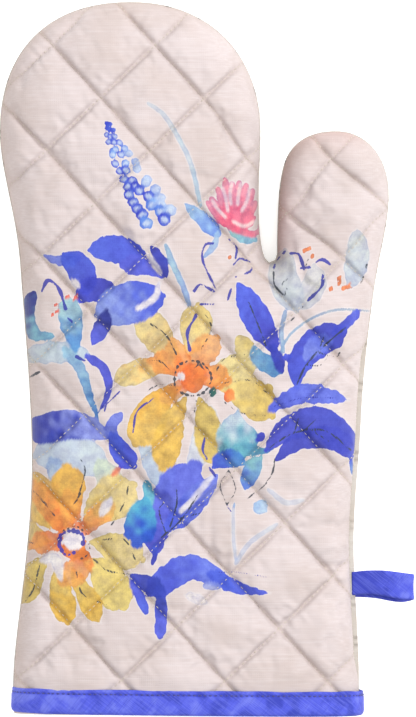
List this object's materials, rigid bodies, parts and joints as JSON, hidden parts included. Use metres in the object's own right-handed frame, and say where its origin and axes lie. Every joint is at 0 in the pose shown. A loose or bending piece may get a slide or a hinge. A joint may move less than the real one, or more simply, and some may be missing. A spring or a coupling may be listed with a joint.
{
  "type": "oven mitt",
  "caption": "Quilted cotton oven mitt with separate thumb and finger pockets, bound cuff and a tape hanging loop in the side seam.",
  "frame": {"origin": "under the middle of the whole part's box, on the surface that the palm rests on", "axes": "+Y from the cuff to the fingertips, +Z out of the printed front, +X towards the thumb and the hanging loop"},
  "size_m": [0.1918, 0.33, 0.0411],
  "materials": {
    "printed_cotton": "slubbed plain-weave cotton with a watercolour flower print",
    "palm_cotton": "plain slubbed plain-weave cotton",
    "wadding": "needled cotton and polyester wadding",
    "lining_cotton": "plain cotton lining",
    "blue_tape": "woven cotton tape, dyed blue",
    "cream_thread": "spun polyester sewing thread, cream",
    "blue_thread": "spun polyester sewing thread, blue"
  },
  "bodies": {
    "mitt": {"binding_thread": "blue_thread", "cuff_binding": "blue_tape", "front_lining": "lining_cotton", "front_shell": "printed_cotton", "front_wadding": "wadding", "palm_lining": "lining_cotton", "palm_shell": "palm_cotton", "palm_wadding": "wadding", "quilting_thread_falling_1": "cream_thread", "quilting_thread_falling_2": "cream_thread", "quilting_thread_falling_3": "cream_thread", "quilting_thread_falling_4": "cream_thread", "quilting_thread_falling_5": "cream_thread", "quilting_thread_falling_6": "cream_thread", "quilting_thread_falling_7": "cream_thread", "quilting_thread_falling_8": "cream_thread", "quilting_thread_falling_9": "cream_thread", "quilting_thread_rising_1": "cream_thread", "quilting_thread_rising_10": "cream_thread", "quilting_thread_rising_11": "cream_thread", "quilting_thread_rising_2": "cream_thread", "quilting_thread_rising_3": "cream_thread", "quilting_thread_rising_4": "cream_thread", "quilting_thread_rising_5": "cream_thread", "quilting_thread_rising_6": "cream_thread", "quilting_thread_rising_7": "cream_thread", "quilting_thread_rising_8": "cream_thread", "quilting_thread_rising_9": "cream_thread", "side_seam_thread": "cream_thread"},
    "loop": {"hanging_loop": "blue_tape"}
  },
  "joints": [
    {"name": "loop_fold", "type": "hinge", "parent": "mitt", "child": "loop", "pos_m": [0.06985, -0.1045, 0.015], "axis": [0, -1, 0], "range_deg": [-24, 90], "stiffness_Nm_per_rad": 0.002}
  ]
}
